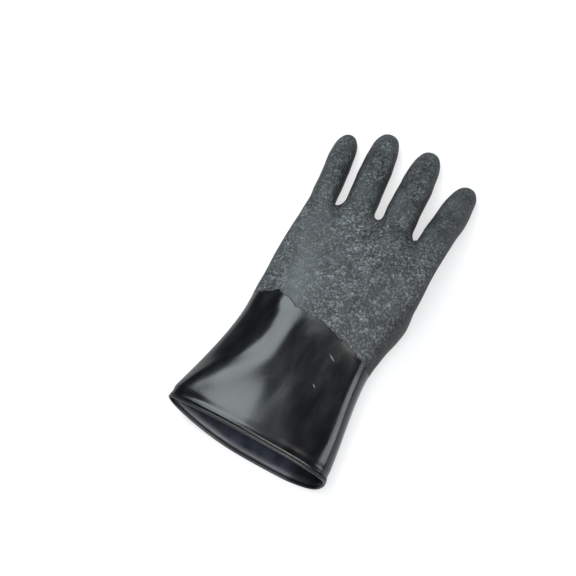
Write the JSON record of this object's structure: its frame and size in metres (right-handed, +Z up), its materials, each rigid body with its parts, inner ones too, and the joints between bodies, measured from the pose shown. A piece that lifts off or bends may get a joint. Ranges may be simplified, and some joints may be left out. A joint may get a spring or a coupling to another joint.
{
  "type": "butyl chemical-resistant glove, left hand",
  "caption": "Left-hand gauntlet glove in black butyl rubber, rough grip on the hand, smooth flared cuff with a rolled bead, lying palm down.",
  "frame": {"origin": "under the middle of the glove's bounding box, on the surface it lies on", "axes": "+Y from the open rim to the fingertips, +X towards the thumb's side, +Z up out of the back of the hand"},
  "size_m": [0.1272, 0.277, 0.048],
  "materials": {
    "butyl_film": "dark grey-black dipped butyl, rough grip on the hand and glossy smooth on the gauntlet",
    "butyl_bead": "smooth glossy black rolled edge"
  },
  "bodies": {
    "root": {"glove_skin": "butyl_film", "rolled_bead": "butyl_bead"}
  },
  "joints": []
}
